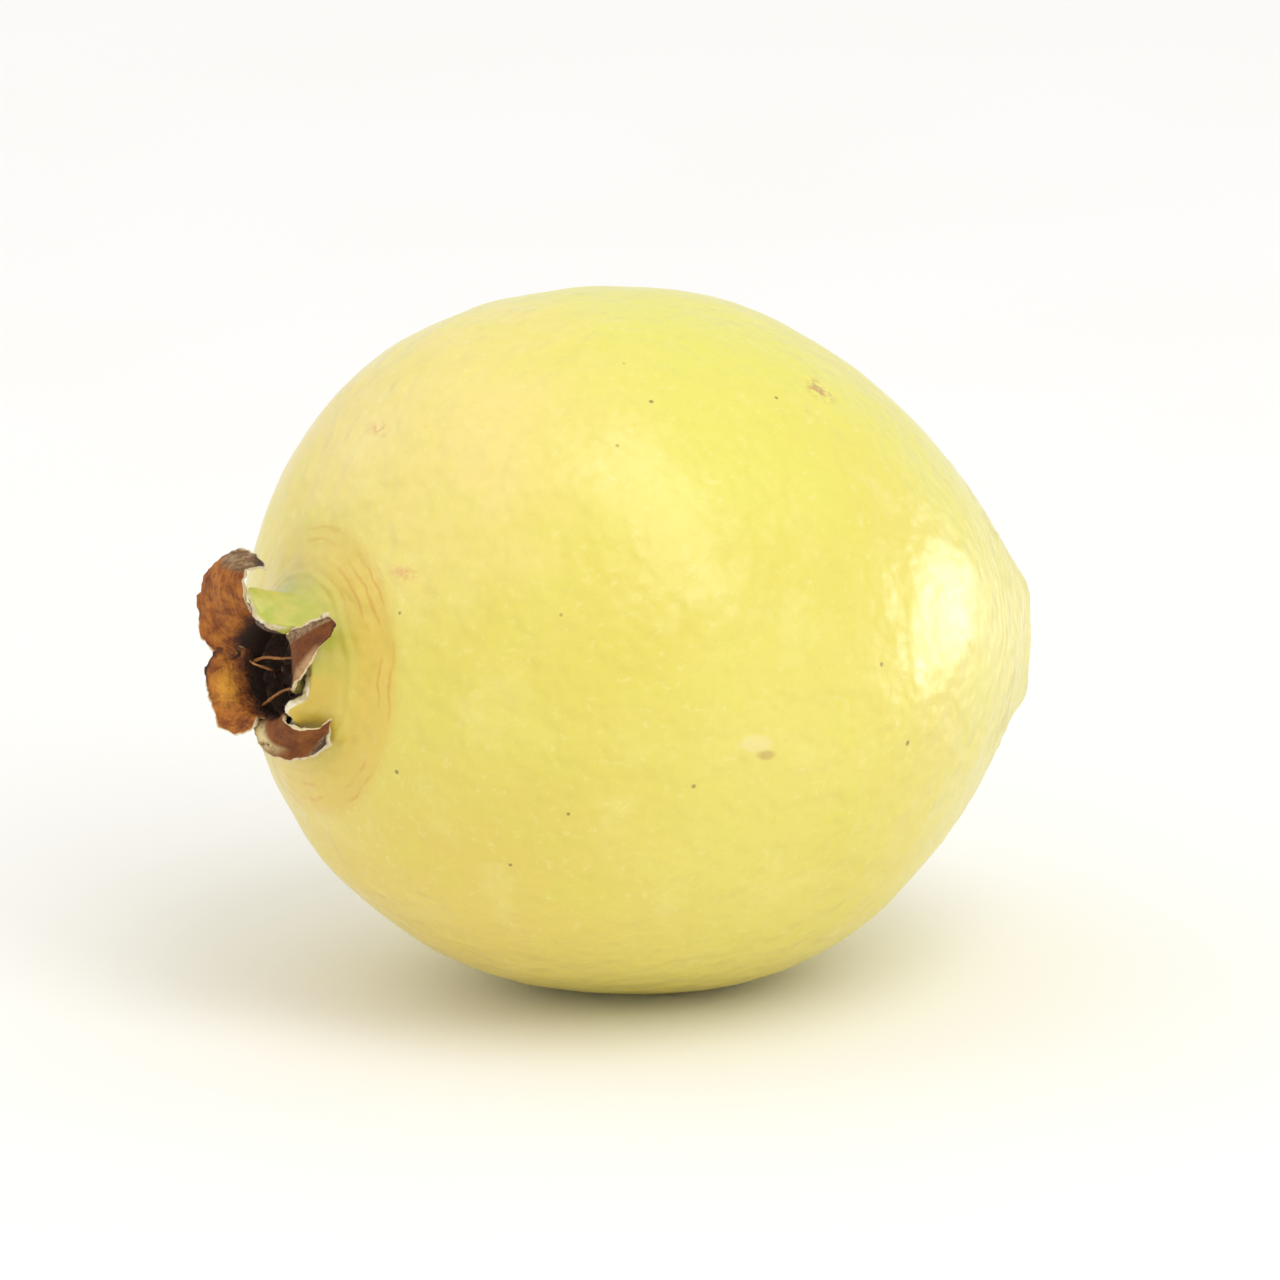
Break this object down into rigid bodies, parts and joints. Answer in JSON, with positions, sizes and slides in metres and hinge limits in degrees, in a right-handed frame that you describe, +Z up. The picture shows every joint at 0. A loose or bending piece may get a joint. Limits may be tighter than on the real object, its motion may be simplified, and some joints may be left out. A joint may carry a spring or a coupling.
{
  "type": "guava fruit",
  "caption": "Whole ripe yellow guava lying on its side, with a dried brown calyx crown in a short green neck and a corky stem scar.",
  "frame": {"origin": "on the table, under the middle of the bounding box", "axes": "+Z up; the calyx crown points towards -X and a little up, the stem end towards +X"},
  "size_m": [0.0782, 0.0624, 0.0616],
  "materials": {
    "fruit": "satin",
    "calyx": "matte",
    "stamens": "matte",
    "stem_scar": "matte"
  },
  "bodies": {
    "root": {"fruit": "fruit", "calyx": "calyx", "stamens": "stamens", "stem_scar": "stem_scar"}
  },
  "joints": []
}
